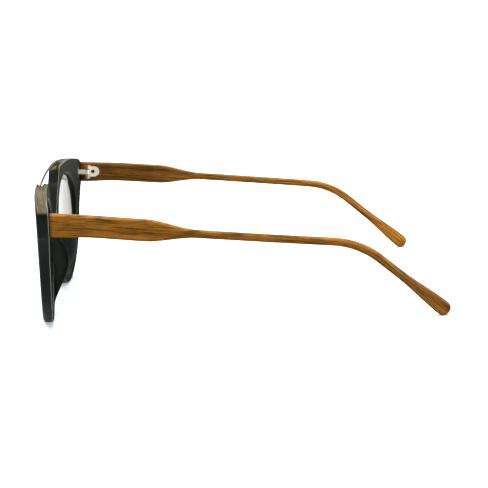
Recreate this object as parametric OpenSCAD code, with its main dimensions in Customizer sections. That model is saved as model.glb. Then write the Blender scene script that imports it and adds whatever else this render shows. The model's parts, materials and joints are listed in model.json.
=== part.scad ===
// Sunglasses: a black acetate front with a metal bar above the bridge, two tinted lenses
// and two wood-look temples on barrel hinges. They stand open on the rims and temple tips.
// X runs across the face, the temples run to +Y, and +Z is up.

/* [Front] */
// Width of the front across its end pieces
front_w = 140; // [136:1:146]
// Height from the rims' lowest point to the brow
front_h = 49.2; // [48.4:0.2:50.6]
// Thickness of the sheet that the front is cut from
front_t = 4.4; // [4.2:0.1:5.2]
// Radius of the front's curve, seen from above
wrap_r = 500; // [400:10:800]
// Lean of the front, top to the back, in degrees
front_lean = 0.7; // [0:0.1:2]
// Further lean of the front's back face, which makes the rims thinner below
back_lean = 1; // [0:0.1:1.2]
// Width of the rim beside the lens
rim_side = 3.9; // [3.4:0.1:4.4]
// Height of the brow above the lens
rim_top = 4; // [3.4:0.1:4.6]
// Width of the rim under the lens
rim_low = 3.2; // [2.8:0.1:3.8]
// Rounding of the front's edges
edge_r = 0.8; // [0.4:0.1:1]
// Height of each end piece's outer edge
end_h = 8.4; // [7.6:0.2:9]
// Width of an end piece beside its lens
end_w = 11; // [9:0.5:12]
// How far the temples' middle line meets the front below the brow
end_drop = 7.95; // [7.4:0.05:8.6]

/* [Bridge] */
// Gap between the two lenses
bridge_w = 22; // [20:0.5:24]
// How far the bridge's upper edge lies below the brow
bridge_drop = 19.1; // [17:0.1:20]
// Height of the bridge's section at the middle
bridge_h = 5.6; // [4.6:0.2:7]

/* [Lenses] */
// Thickness of a lens
lens_t = 2; // [1.6:0.1:2.2]
// Radius of the lens's curve
lens_curve_r = 200; // [170:10:400]
// How much wider the lens is above its middle than below it
lens_egg = 0.12; // [0:0.01:0.16]
// Depth of the groove that holds the lens
groove_depth = 0.8; // [0.5:0.1:1.1]

/* [Bar] */
// Diameter of the bar's wire
bar_d = 0.8; // [0.6:0.1:1.1]
// Distance between the bar's two feet
bar_w = 64.8; // [58:0.2:68]
// Rise of the bar's middle above its ends
bar_rise = 1.5; // [0.8:0.1:2.5]
// Depth of the feet in the brow
bar_foot = 3; // [2:0.25:3.5]

/* [Nose pads] */
// How far a pad stands behind the rim
pad_reach = 6; // [5:0.1:6.6]
// Height of a pad
pad_h = 24.5; // [22:0.5:26]
// Height of a pad's lower end
pad_low = 3.6; // [3:0.2:5]
// Thickness of a pad
pad_t = 3; // [2.4:0.1:3.4]

/* [Temples] */
// Length of a temple along its middle line
temple_l = 146; // [142:1:152]
// Height of the temple's wide front part
temple_h = 7.45; // [6.8:0.05:8]
// Length of the wide front part
temple_wide_l = 32.5; // [28:0.5:40]
// Height of the thin shaft
shaft_h = 2.7; // [2.5:0.05:3.4]
// Height of the paddle at the tip
paddle_h = 5.2; // [4.6:0.1:6.4]
// Thickness of the temple at its front
temple_t = 3.8; // [3.6:0.1:4.6]
// Thickness of the temple's shaft
shaft_t = 3; // [2.7:0.1:3.6]
// Height above the floor where the ear bend starts
ear_z = 29.1; // [27:0.1:31]
// Slope of the temple behind the ear, in degrees
drop_slope = 42; // [38:0.5:44]
// Radius of the ear bend
bend_r = 29; // [20:1:36]
// Distance from the front to the ear bend
bend_start = 97; // [92:1:102]
// Bulge of the temple at mid length, seen from above
temple_bow = 4.1; // [2:0.1:5]
// How far the tips come in from the front's width
toe_in = 2.9; // [0:0.1:5]
// Diameter of the core wire in a temple
core_d = 1.2; // [0.8:0.1:1.4]

/* [Hinges] */
// Diameter of the hinge's knuckles
knuckle_d = 2.4; // [2.2:0.1:2.6]
// Height of the middle knuckle
tongue_h = 1.7; // [1.5:0.1:2.2]
// Height of each outer knuckle
ear_h = 1.9; // [1.8:0.1:2.3]
// Diameter of the hinge screw's shank
screw_d = 1.2; // [1:0.05:1.3]
// Height of the hinge's plates
plate_h = 4.3; // [4:0.1:4.8]
// Length of the plate on the temple
plate_l = 5; // [4.6:0.1:6]
// Thickness of the plate on the temple
plate_t = 1; // [0.8:0.1:1.2]
// Distance of the pin behind the temple's front end
pin_back = 2.85; // [2.6:0.05:3.2]
// Tilt of the pin, top to the back, in degrees
pin_tilt = 3.5; // [2:0.5:5]

/* [Fits] */
// Gap between a screw and its bore, all round
screw_gap = 0.05; // [0.03:0.01:0.08]
// Gap between the front and the temple's end
butt_gap = 0.15; // [0.1:0.05:0.3]
// Gap round pieces that are set in pockets
seat_gap = 0.03; // [0.02:0.01:0.05]
// Gap between the hinge's knuckles
knuckle_gap = 0.05; // [0.03:0.01:0.1]

/* [Hidden] */
$fn = 48;

// Height of the temple's middle line where it meets the front
temple_z = front_h - end_drop;
half_w = front_w / 2;
lens_w = half_w - bridge_w / 2 - end_w;
lens_h = front_h - rim_top - rim_low;
lens_x = (bridge_w + lens_w) / 2;
lens_z = rim_low + lens_h / 2;
rim_half_w = lens_w / 2 + rim_side;
rim_half_h = lens_h / 2 + rim_low;
butt_drop = 0.7;
butt_z = temple_z - butt_drop;
end_low = butt_z - end_h / 2 + 0.2;
end_high = butt_z + end_h / 2 + 0.2;
bridge_top = front_h - bridge_drop;
bridge_low = bridge_top - bridge_h;

// Front face where it meets the middle plane, at the height of the floor
front_y = -(front_t + half_w * half_w / (2 * wrap_r)) - temple_z * sin(front_lean);
large = 200;
round_fn = 720;

// Slope of the temple's straight part, and the ear bend's ends and turn on its middle line
temple_slope = asin((temple_z - ear_z) / bend_start);
bend_turn = drop_slope - temple_slope;
bend_end = bend_start + bend_r * bend_turn * PI / 180;
bend_y = bend_start * cos(temple_slope);
bend_z = ear_z;
drop_y = bend_y + bend_r * (sin(drop_slope) - sin(temple_slope));
drop_z = bend_z - bend_r * (cos(temple_slope) - cos(drop_slope));
tip_s = temple_l - paddle_h / 2;
tip_y = drop_y + (tip_s - bend_end) * cos(drop_slope);
reach_y = tip_y + paddle_h / 2;

// The origin lies under the middle of the whole length
middle_y = (reach_y + front_y + 0.29) / 2;

// Hinge pin, measured from the temple's front end
pin_x = half_w - temple_t - knuckle_d / 2;
pin_z = butt_z;
leaf_turn = atan(4 * temple_bow / reach_y - toe_in / reach_y);
face_gap = (half_w + side_line(pin_back) - temple_t - pin_x) * cos(leaf_turn);
plate_sink = 0.45;
hole_y = 2.3;

function smooth(t) = let (u = min(1, max(0, t))) u * u * (3 - 2 * u);

// One point of a smooth curve between b and c, with neighbours a and d
function curve_point(a, b, c, d, t) =
  ((2 * b) + (c - a) * t + (2 * a - 5 * b + 4 * c - d) * t * t + (3 * b - a - 3 * c + d) * t * t * t) / 2;

// A closed smooth curve through the points p, with n steps between two of them
function smooth_loop(p, n) = let (m = len(p))
  [for (i = [0:m - 1]) for (k = [0:n - 1])
    curve_point(p[(i + m - 1) % m], p[i], p[(i + 1) % m], p[(i + 2) % m], k / n)];

// Unit vector into a counter-clockwise outline at point i
function inward(p, i) = let (m = len(p), t = p[(i + 1) % m] - p[(i + m - 1) % m]) [-t.y, t.x] / norm(t);

// Depth of the front face at a distance x from the middle plane
function face_y(x) = front_y + wrap_r - sqrt(wrap_r * wrap_r - x * x);

// Egg-shaped line round the lens, at angle a, with the half sizes hw and hh
function egg_point(a, hw, hh) = [lens_x + hw * cos(a) * (1 + lens_egg * sin(a)), lens_z + hh * sin(a)];

function egg_loop(grow) = [for (a = [0:9:351]) egg_point(a, lens_w / 2 + grow, lens_h / 2 + grow)];

// Outline of the front's left half, from under the bridge round the rim to the bridge's top
half_outline = concat(
  [[0, bridge_low], [lens_x - rim_half_w - 2.6, bridge_low - 1.5]],
  [for (a = [189:9:360]) egg_point(a, rim_half_w, rim_half_h)],
  [
    [half_w - 5.6, end_low - 8.2],
    [half_w - 3.4, end_low - 4.2],
    [half_w - 1.5, end_low - 1.2],
    [half_w - 0.4, end_low + 0.2],
    [half_w, end_low + 1.8],
    [half_w, end_high - 1.6],
    [half_w - 0.7, end_high],
    [half_w - 3.6, end_high + 1.4],
    [half_w - 9, front_h - 2],
    [half_w - 16, front_h - 1],
    [half_w - 23, front_h - 0.3],
    [lens_x + 5, front_h],
    [lens_x - 1.5, front_h],
    [lens_x - 6, front_h],
    [lens_x - 9.6, front_h - 0.1],
    [lens_x - 12.2, front_h - 0.7],
    [lens_x - 14.2, front_h - 2.3],
    [lens_x - 17, front_h - 5.5],
    [lens_x - 20.8, front_h - 8.9],
    [lens_x - 23.9, front_h - 12.1],
    [lens_x - 27.2, bridge_top + 3.2],
    [lens_x - 30.8, bridge_top + 0.8],
    [0, bridge_top]
  ]
);
outline = smooth_loop(
  concat(half_outline, [for (i = [len(half_outline) - 2:-1:1]) [-half_outline[i].x, half_outline[i].y]]), 1
);

// Solid between equal rings of points, closed at both ends. The rings run clockwise
// when they are seen from the last one.
module loft(rings) {
  m = len(rings[0]);
  n = len(rings);
  polyhedron(
    points = [for (r = rings) for (p = r) p],
    faces = concat(
      [[for (i = [m - 1:-1:0]) i]],
      [for (j = [0:n - 2]) for (i = [0:m - 1]) [j * m + i, j * m + (i + 1) % m, (j + 1) * m + i]],
      [for (j = [0:n - 2]) for (i = [0:m - 1])
        [j * m + (i + 1) % m, (j + 1) * m + (i + 1) % m, (j + 1) * m + i]],
      [[for (i = [0:m - 1]) (n - 1) * m + i]]
    )
  );
}

// Thickness of the front at a height z
function thick_z(z) = front_t - (butt_z - z) * tan(back_lean);

// Ring of an outline near the front face (share 0) or the back face (share 1), drawn in by an inset
function face_ring(p, share, depth, inset) =
  [for (i = [0:len(p) - 1]) let (q = p[i] + inset * inward(p, i))
    [q.x, face_y(q.x) + share * thick_z(q.y) + depth, q.y]];

// The same ring moved to one plane across the front
function flat_ring(p, y, inset) =
  [for (i = [0:len(p) - 1]) let (q = p[i] + inset * inward(p, i)) [q.x, y, q.y]];

// Solid inside an outline whose edges at both faces are rounded; side is 1 for a plate, -1 for a hole
module curved_prism(p, side) {
  inset = side * 0.8 * edge_r;
  loft([
    flat_ring(p, front_y - 10, inset),
    face_ring(p, 0, -0.1, inset),
    face_ring(p, 0, 0.75 * edge_r, 0),
    face_ring(p, 1, -0.75 * edge_r, 0),
    face_ring(p, 1, 0.1, inset),
    flat_ring(p, 15, inset)
  ]);
}

// Puts what is drawn upright into the front's lean
module leaned() {
  translate([0, front_y + front_t, 0]) rotate([-front_lean, 0, 0]) translate([0, -front_y - front_t, 0])
    children();
}

// Everything that lies deeper than a depth behind the front's curved face
module behind_face(depth) {
  translate([0, front_y + wrap_r, -large / 2]) cylinder(r = wrap_r - depth, h = large, $fn = round_fn);
}

// Everything that lies a gap or more behind the front's back face
module behind_back(gap) {
  translate([0, front_y + front_t, butt_z]) rotate([-back_lean, 0, 0]) translate([0, -front_y - front_t, -butt_z])
    behind_face(front_t + gap);
}

module from_middle() {
  translate([0, -middle_y, 0]) children();
}

module mirrored() {
  children();
  mirror([1, 0, 0]) children();
}

// Blank of a lens, with its edge grown and its thickness raised for the groove
module lens_blank(grow, thicken) {
  turn = asin(lens_x / wrap_r);
  edge = lens_w / 2 - 1;
  sag = lens_curve_r - sqrt(lens_curve_r * lens_curve_r - edge * edge);
  mid_y = face_y(lens_x) + front_t / 2 - sag;
  intersection() {
    rotate([90, 0, 0]) translate([0, 0, -20]) linear_extrude(60) polygon(egg_loop(grow));
    translate([lens_x - lens_curve_r * sin(turn), mid_y + lens_curve_r * cos(turn), lens_z])
      difference() {
        sphere(r = lens_curve_r + (lens_t + thicken) / 2, $fn = round_fn / 2);
        sphere(r = lens_curve_r - (lens_t + thicken) / 2, $fn = round_fn / 2);
      }
  }
}

// Frame of the hinge: the pin stands on the origin and the temple runs to +Y
module at_pin() {
  translate([pin_x, pin_back, pin_z]) rotate([-pin_tilt, 0, 0]) children();
}

module at_leaf() {
  at_pin() rotate([0, 0, -leaf_turn]) children();
}

base_w = 4.2;
base_t = 1.5;
base_y = -pin_back - 2.35;
anchor_d = 1.4;
anchor_l = 1;

// Base of the front hinge, set in the end piece
module hinge_base(grow) {
  translate([-base_w / 2 - grow, base_y - grow, -plate_h / 2 - grow])
    cube([base_w + 2 * grow, base_t + grow + (grow > 0 ? large : 0), plate_h + 2 * grow]);
  translate([0, base_y + 0.1, 0]) rotate([90, 0, 0]) cylinder(d = anchor_d + 2 * grow, h = anchor_l + 0.1 + grow);
}

// Bar's line: an arc between the feet, which turn down into the brow
bar_r = (bar_w * bar_w / 4 + bar_rise * bar_rise) / (2 * bar_rise);
bar_half_angle = asin(bar_w / 2 / bar_r);
bar_y = face_y(bar_w / 2) + front_t / 2;
bar_z = front_h + 0.9;

module front_frame() {
  color([0.12, 0.13, 0.12]) from_middle() difference() {
    leaned() difference() {
      intersection() {
        curved_prism(outline, 1);
        behind_face(0);
      }
      behind_back(0);
      mirrored() curved_prism(egg_loop(-groove_depth), -1);
      mirrored() lens_blank(seat_gap, 2 * seat_gap);
      mirrored() bar_foot(seat_gap);
      mirrored() bar_channel();
    }
    mirrored() at_pin() hinge_base(seat_gap);
  }
}

module left_lens() {
  color([0.62, 0.56, 0.53, 0.6]) from_middle() leaned() lens_blank(0, 0);
}

module right_lens() {
  mirror([1, 0, 0]) left_lens();
}

// Foot of the bar, which stands in a hole in the brow
module bar_foot(grow) {
  translate([bar_w / 2, bar_y, front_h - bar_foot - grow])
    cylinder(d = bar_d + 2 * grow, h = bar_foot + bar_z - front_h + grow);
}

// Channel in the brow's nasal corner, under the end of the bar. It lies nearer to the front face.
channel_w = 2.1;
channel_shift = 0.35;
channel_depth = 1.1;
channel_turn = atan((bar_w / 2 - 5) / wrap_r);

module bar_channel() {
  translate([bar_w / 2, bar_y, front_h - channel_depth]) rotate([0, 0, channel_turn])
    translate([-15, -channel_w / 2 - channel_shift, 0]) cube([16.2, channel_w, 5]);
}

module brow_bar() {
  color([0.8, 0.66, 0.36]) from_middle() leaned() translate([0, bar_y, 0]) {
    translate([0, 0, bar_z + bar_rise - bar_r]) rotate([90, 0, 0]) rotate([0, 0, 90 - bar_half_angle])
      rotate_extrude(angle = 2 * bar_half_angle, $fn = round_fn) translate([bar_r, 0]) circle(d = bar_d, $fn = 24);
    mirrored() {
      translate([bar_w / 2, 0, bar_z]) sphere(d = bar_d + 0.08);
      translate([0, -bar_y, 0]) bar_foot(0);
    }
  }
}

// Section of the nose pad at the height t of its own height: a lens-shaped ring that leans outwards
pad_steps = 14;
pad_lean = 46;

function pad_ring(t) = let (
    z = pad_low + t * pad_h,
    out = pad_reach * pow(max(0, sin(180 * pow(t, 1.5))), 0.85),
    side = asin(max(-1, min(1, (z - lens_z) / rim_half_h))),
    nose_x = egg_point(180 - side, rim_half_w, rim_half_h).x,
    long = (out / 2 + 0.9) / cos(pad_lean),
    wide = pad_t / 2 * (0.45 + 0.55 * out / pad_reach),
    cx = nose_x + 2.2 + out / 2 * tan(pad_lean),
    cy = face_y(nose_x) + thick_z(z) + out / 2 - 0.9
  )
  [for (a = [337.5:-22.5:0]) let (u = wide * cos(a), v = long * sin(a))
    [cx + u * cos(pad_lean) + v * sin(pad_lean), cy - u * sin(pad_lean) + v * cos(pad_lean), z]];

module left_nose_pad() {
  color([0.2, 0.21, 0.2]) from_middle() leaned() intersection() {
    loft([for (k = [0:pad_steps]) pad_ring(k / pad_steps)]);
    behind_back(0);
  }
}

module right_nose_pad() {
  mirror([1, 0, 0]) left_nose_pad();
}

module left_front_hinge() {
  color([0.8, 0.78, 0.72]) from_middle() at_pin() difference() {
    union() {
      hinge_base(0);
      translate([0, 0, -tongue_h / 2]) cylinder(d = knuckle_d, h = tongue_h);
      translate([-0.8, base_y + base_t - 0.1, -tongue_h / 2]) cube([1.6, -base_y - base_t + 0.1, tongue_h]);
    }
    translate([0, 0, -tongue_h]) cylinder(d = screw_d + 2 * screw_gap, h = 2 * tongue_h);
  }
}

module right_front_hinge() {
  mirror([1, 0, 0]) left_front_hinge();
}

stack_h = tongue_h + 2 * ear_h + 2 * knuckle_gap;
head_d = 1.9;
head_h = 0.5;
plate_x = face_gap + plate_sink - plate_t;

// Outline of the temple's hinge plate, with a round rear end
module plate_shape(grow) {
  rotate([90, 0, 90]) linear_extrude(plate_t + 2 * grow) {
    translate([plate_l - plate_h / 2, 0]) circle(d = plate_h + 2 * grow);
    translate([0.4 - grow, -plate_h / 2 - grow]) square([plate_l - plate_h / 2 - 0.4 + grow, plate_h + 2 * grow]);
  }
}

module left_temple_hinge() {
  color([0.85, 0.82, 0.75]) from_middle() at_leaf() difference() {
    union() {
      translate([plate_x, 0, 0]) plate_shape(0);
      for (side = [-1, 1]) translate([0, 0, side * (tongue_h / 2 + knuckle_gap + ear_h / 2) - ear_h / 2]) {
        cylinder(d = knuckle_d, h = ear_h);
        translate([0, 0, 0]) cube([plate_x + plate_t / 2, knuckle_d / 2, ear_h]);
      }
    }
    translate([0, 0, -tongue_h / 2 - knuckle_gap]) cylinder(d = knuckle_d + 0.3, h = tongue_h + 2 * knuckle_gap);
    translate([0, 0, -stack_h]) cylinder(d = screw_d + 2 * screw_gap, h = 2 * stack_h);
    translate([0, 0, stack_h / 2 - head_h]) cylinder(d = head_d + 2 * screw_gap, h = 1);
    translate([plate_x - 1, hole_y, 0]) rotate([0, 90, 0]) cylinder(d = plate_screw_d + 2 * seat_gap, h = 4);
    translate([plate_x - 1, hole_y, 0]) rotate([0, 90, 0])
      cylinder(d = plate_head_d + 2 * seat_gap, h = 1 + plate_t * 0.75);
  }
}

module right_temple_hinge() {
  mirror([1, 0, 0]) left_temple_hinge();
}

module left_hinge_screw() {
  color([0.75, 0.74, 0.72]) from_middle() at_leaf() difference() {
    union() {
      translate([0, 0, -stack_h / 2]) cylinder(d = screw_d, h = stack_h - 0.1);
      translate([0, 0, stack_h / 2 - head_h]) cylinder(d = head_d, h = head_h);
    }
    translate([-head_d, -0.15, stack_h / 2 - 0.25]) cube([2 * head_d, 0.3, 1]);
  }
}

module right_hinge_screw() {
  mirror([1, 0, 0]) left_hinge_screw();
}

plate_screw_d = 0.9;
plate_head_d = 1.5;
plate_screw_l = 1.25;

module left_plate_screw() {
  color([0.3, 0.29, 0.27]) from_middle() at_leaf() translate([plate_x, hole_y, 0]) rotate([0, 90, 0]) difference() {
    union() {
      translate([0, 0, plate_t * 0.35]) cylinder(d = plate_head_d, h = plate_t * 0.4);
      translate([0, 0, plate_t * 0.5]) cylinder(d = plate_screw_d, h = plate_screw_l);
    }
    translate([-plate_head_d, -0.13, 0]) cube([2 * plate_head_d, 0.26, plate_t * 0.35 + 0.2]);
  }
}

module right_plate_screw() {
  mirror([1, 0, 0]) left_plate_screw();
}

// Sideways offset of the temple's outer face from the front's end, at a distance y behind the front
function side_line(y) = let (t = y / reach_y) 4 * temple_bow * t * (1 - t) - toe_in * t;

// Slope and place of the temple's middle line at the length s
function slope_at(s) = temple_slope + min(bend_turn, max(0, (s - bend_start) / bend_r * 180 / PI));
function line_y(s) = s < bend_start ? s * cos(temple_slope)
  : s < bend_end ? bend_y + bend_r * (sin(slope_at(s)) - sin(temple_slope))
  : drop_y + (s - bend_end) * cos(drop_slope);
function line_z(s) = s < bend_start ? temple_z - s * sin(temple_slope)
  : s < bend_end ? bend_z - bend_r * (cos(temple_slope) - cos(slope_at(s)))
  : drop_z - (s - bend_end) * sin(drop_slope);

// Height and thickness of the temple at the length s
neck_l = 18;
paddle_l = 20;
butt_h = end_h - 0.3;

function height_at(s) =
  butt_h + (temple_h - butt_h) * smooth(s / 16)
  - (temple_h - shaft_h) * smooth((s - temple_wide_l) / neck_l)
  + 0.3 * smooth((s - bend_start + 5) / 25)
  + (paddle_h - shaft_h - 0.3) * smooth((s - tip_s + paddle_l) / paddle_l);

function thick_at(s) =
  temple_t - (temple_t - shaft_t) * smooth((s - temple_wide_l) / neck_l)
  + 0.4 * smooth((s - bend_start) / 30);

// Round-cornered rectangle with the half sizes a and b
function round_ring(a, b) = let (r = min(1, 0.9 * min(a, b)))
  [for (k = [0:3]) for (j = [0:3]) let (
      w = 90 * k + 30 * j,
      sx = (k == 0 || k == 3) ? 1 : -1,
      sy = k < 2 ? 1 : -1
    )
    [sx * (a - r) + r * cos(w), sy * (b - r) + r * sin(w)]];

// The ring's points set square to the temple's middle line at the length s
function set_ring(s, ring, thick) = let (
    c = slope_at(s),
    x = half_w + side_line(line_y(s)) - thick / 2,
    z = line_z(s) - butt_drop * (1 - smooth(s / 16))
  )
  [for (q = ring) [x + q.x, line_y(s) + q.y * sin(c), z + q.y * cos(c)]];

temple_stops = concat(
  [for (s = [-4:4:28]) s],
  [for (s = [31:2:53]) s],
  [for (s = [58:9:bend_start - 3]) s],
  [for (k = [0:9]) bend_start + (bend_end - bend_start) * k / 9],
  [for (k = [1:7]) bend_end + (tip_s - bend_end) * k / 7]
);
tip_turns = [18, 36, 54, 70, 82];

module temple_body() {
  loft(concat(
    [for (s = temple_stops) set_ring(s, round_ring(thick_at(s) / 2, height_at(s) / 2), thick_at(s))],
    [for (w = tip_turns) let (s = tip_s + paddle_h / 2 * sin(w), t = thick_at(tip_s))
      set_ring(s, round_ring(t / 2 * pow(cos(w), 0.6), paddle_h / 2 * cos(w)), t)]
  ));
}

core_start = 0.6;
core_end = 124;

// Core wire, with its surface grown and carried on ahead for the bore that holds it.
// Its front part lies nearer the outer face, clear of the plate's screw.
module core_line(ahead, grow) {
  stops = concat(
    ahead > 0 ? [core_start - ahead] : [],
    [core_start, 6, 12, 18, 26],
    [for (s = [34:4:54]) s],
    [66, 82, bend_start],
    [for (k = [1:7]) bend_start + (bend_end - bend_start) * k / 7],
    [core_end + grow]
  );
  loft([for (s = stops) set_ring(
    s,
    [for (a = [0:45:315]) (core_d / 2 + grow) * [cos(a), sin(a)] + [0.42 * (thick_at(s) - shaft_t), 0]],
    thick_at(s)
  )]);
}

module left_temple() {
  color([0.58, 0.38, 0.14]) from_middle() difference() {
    intersection() {
      temple_body();
      leaned() behind_back(butt_gap);
    }
    at_leaf() translate([plate_x - seat_gap, 0, 0]) plate_shape(seat_gap);
    at_leaf() translate([0, 0, -stack_h / 2 - 0.2]) cylinder(d = knuckle_d + 0.4, h = stack_h + 0.4);
    at_leaf() translate([plate_x, hole_y, 0]) rotate([0, 90, 0])
      cylinder(d = plate_screw_d + 2 * seat_gap, h = plate_t * 0.5 + plate_screw_l + seat_gap);
    core_line(4, seat_gap);
  }
}

module right_temple() {
  mirror([1, 0, 0]) left_temple();
}

module left_core_wire() {
  color([0.7, 0.68, 0.62]) from_middle() core_line(0, 0);
}

module right_core_wire() {
  mirror([1, 0, 0]) left_core_wire();
}

front_frame();
left_lens();
right_lens();
brow_bar();
left_nose_pad();
right_nose_pad();
left_front_hinge();
right_front_hinge();
left_temple_hinge();
right_temple_hinge();
left_hinge_screw();
right_hinge_screw();
left_plate_screw();
right_plate_screw();
left_temple();
right_temple();
left_core_wire();
right_core_wire();
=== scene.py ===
import json
import math

import bmesh
import bpy
from mathutils import Matrix, Vector


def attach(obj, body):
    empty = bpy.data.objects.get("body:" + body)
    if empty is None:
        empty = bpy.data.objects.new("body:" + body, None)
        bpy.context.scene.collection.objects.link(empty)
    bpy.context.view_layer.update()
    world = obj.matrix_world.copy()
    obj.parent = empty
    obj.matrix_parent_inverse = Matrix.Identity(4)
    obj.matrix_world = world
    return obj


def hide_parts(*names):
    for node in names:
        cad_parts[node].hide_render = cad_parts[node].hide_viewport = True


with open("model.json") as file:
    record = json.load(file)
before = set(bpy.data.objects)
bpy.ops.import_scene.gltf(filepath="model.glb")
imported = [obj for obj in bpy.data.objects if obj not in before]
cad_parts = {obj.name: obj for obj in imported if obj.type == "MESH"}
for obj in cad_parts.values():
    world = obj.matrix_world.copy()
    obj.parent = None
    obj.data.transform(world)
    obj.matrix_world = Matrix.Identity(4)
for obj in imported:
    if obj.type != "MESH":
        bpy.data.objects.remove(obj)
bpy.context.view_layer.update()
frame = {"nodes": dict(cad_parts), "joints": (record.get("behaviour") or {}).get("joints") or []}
scene = bpy.context.scene
print("frame loaded")

mm = 0.001
xAxis, yAxis, zAxis = (1, 0, 0), (0, 1, 0), (0, 0, 1)
joints = {j["name"]: j for j in frame["joints"]}
pinPlace = Vector(joints["left_fold"]["pos_m"])

# Where the front meets the temples, taken from the hinge pin
butt = {"pinBack": 2.85 * mm, "pinDrop": 0.7 * mm}
buttY = pinPlace.y - butt["pinBack"]
templeZ = pinPlace.z + butt["pinDrop"]


# Curves and meshes


def smoothStep(t):
    t = min(1.0, max(0.0, t))
    return t * t * (3 - 2 * t)


def smoothLoop(points, steps):  # closed curve through the points, with steps between two of them
    count = len(points)
    loop = []
    for i in range(count):
        a, b, c, d = (points[(i + k) % count] for k in (-1, 0, 1, 2))
        for k in range(steps):
            t = k / steps
            loop.append(tuple(
                (2 * b[n] + (c[n] - a[n]) * t + (2 * a[n] - 5 * b[n] + 4 * c[n] - d[n]) * t * t
                 + (3 * b[n] - a[n] - 3 * c[n] + d[n]) * t ** 3) / 2 for n in (0, 1)))
    return loop


def drawnIn(loop, inset):  # a counter-clockwise loop moved inwards
    count = len(loop)
    moved = []
    for i, (x, z) in enumerate(loop):
        before, after = loop[i - 1], loop[(i + 1) % count]
        tx, tz = after[0] - before[0], after[1] - before[1]
        size = math.hypot(tx, tz)
        moved.append((x - inset * tz / size, z + inset * tx / size))
    return moved


def loftFaces(rings, ringSize):  # quads between rings, with a cap at both ends
    faces = [tuple(reversed(range(ringSize)))]
    for j in range(rings - 1):
        low, high = j * ringSize, (j + 1) * ringSize
        for i in range(ringSize):
            k = (i + 1) % ringSize
            faces.append((low + i, low + k, high + k, high + i))
    faces.append(tuple((rings - 1) * ringSize + i for i in range(ringSize)))
    return faces


def newMesh(name, verts, faces, weld=0.0):  # faces turned outwards, and points that lie together welded
    mesh = bpy.data.meshes.new(name)
    mesh.from_pydata(verts, [], faces)
    clean = bmesh.new()
    clean.from_mesh(mesh)
    if weld:
        bmesh.ops.remove_doubles(clean, verts=clean.verts, dist=weld)
    bmesh.ops.recalc_face_normals(clean, faces=clean.faces)
    clean.to_mesh(mesh)
    clean.free()
    return mesh


def boxMesh(low, high, place):  # a box between two corners, each of its corners moved by place
    corners = [(x, y, z) for x in (low[0], high[0]) for y in (low[1], high[1]) for z in (low[2], high[2])]
    faces = [(0, 1, 3, 2), (4, 6, 7, 5), (0, 4, 5, 1), (2, 3, 7, 6), (0, 2, 6, 4), (1, 5, 7, 3)]
    return newMesh("box", [place(*c) for c in corners], faces)


def mirroredPair(mesh):  # a left piece's mesh and its mirror image, each with its side
    other = mesh.copy()
    other.name = mesh.name.replace("left", "right")
    other.transform(Matrix.Scale(-1, 4, xAxis))
    other.flip_normals()
    return (mesh, "left"), (other, "right")


def newObject(name, data):
    thing = bpy.data.objects.new(name, data)
    scene.collection.objects.link(thing)
    return thing


def cutMesh(mesh, cutters):  # the mesh less the cutters' volume
    host = newObject("host", mesh)
    tools = [newObject("cutter", cutter) for cutter in cutters]
    for tool in tools:
        cut = host.modifiers.new("cut", "BOOLEAN")
        cut.operation, cut.solver, cut.object = "DIFFERENCE", "EXACT", tool
    view = bpy.context.evaluated_depsgraph_get()
    out = bpy.data.meshes.new_from_object(host.evaluated_get(view))
    name = mesh.name
    for used in [mesh, *cutters]:  # their objects go with them
        bpy.data.meshes.remove(used)
    out.name = name
    return out


def placePiece(mesh, body, stands, material):
    piece = newObject(mesh.name, mesh)
    for face in mesh.polygons:
        face.use_smooth = True
    mesh.materials.append(material)
    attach(piece, body)
    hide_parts(stands)
    return piece


def flatNormals(piece):  # keeps wide faces flat beside their rounded edges
    weighted = piece.modifiers.new("faceNormals", "WEIGHTED_NORMAL")
    weighted.mode = "FACE_AREA"
    weighted.keep_sharp = True


# Front: a curved sheet with two apertures

frontShape = {
    "width": 140, "height": 49.2, "thick": 4.4, "curveRadius": 500, "lean": 0.7, "backLean": 1.0,
    "rimSide": 3.9, "rimLow": 3.2, "rimTop": 4.0, "endWidth": 11, "endHeight": 8.4, "endLift": 0.2,
    "bridgeGap": 22, "bridgeDrop": 19.1, "bridgeHeight": 5.6, "egg": 0.12, "groove": 0.8, "edge": 0.8,
    "curveSteps": 8, "edgeSteps": 5, "rimAngles": (189, 361, 9), "apertureStep": 3, "bendStep": 1.6,
    "depthUnit": 10, "snap": 1e-5,
}

# What follows from the sizes of the front, in millimetres
halfW = frontShape["width"] / 2
lensW = halfW - frontShape["bridgeGap"] / 2 - frontShape["endWidth"]
lensH = frontShape["height"] - frontShape["rimTop"] - frontShape["rimLow"]
lensX = (frontShape["bridgeGap"] + lensW) / 2
lensZ = frontShape["rimLow"] + lensH / 2
rimHalfW = lensW / 2 + frontShape["rimSide"]
rimHalfH = lensH / 2 + frontShape["rimLow"]
bendR = frontShape["curveRadius"]
leanTurn = math.radians(frontShape["lean"])
backTurn = math.tan(math.radians(frontShape["backLean"]))
faceStart = -(frontShape["thick"] + halfW ** 2 / (2 * bendR)) - templeZ / mm * math.sin(leanTurn)

# Points of half the outline, each as a step across and up from the place that its list is named for
outlineSteps = {
    "noseLow": [(-2.6, -1.5)],
    "endLow": [(-5.6, -8.2), (-3.4, -4.2), (-1.5, -1.2), (-0.4, 0.2), (0, 1.8)],
    "endHigh": [(0, -1.6), (-0.7, 0), (-3.6, 1.4)],
    "shoulder": [(-9, -2), (-16, -1), (-23, -0.3)],
    "browTop": [
        (5, 0), (-1.5, 0), (-6, 0), (-9.6, -0.1), (-12.2, -0.7), (-14.2, -2.3), (-17, -5.5), (-20.8, -8.9),
        (-23.9, -12.1)],
    "bridgeTop": [(-27.2, 3.2), (-30.8, 0.8)],
}


def faceY(x):  # depth of the front's curved face, in millimetres from the butt joint
    return faceStart + bendR - math.sqrt(bendR ** 2 - x * x)


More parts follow.
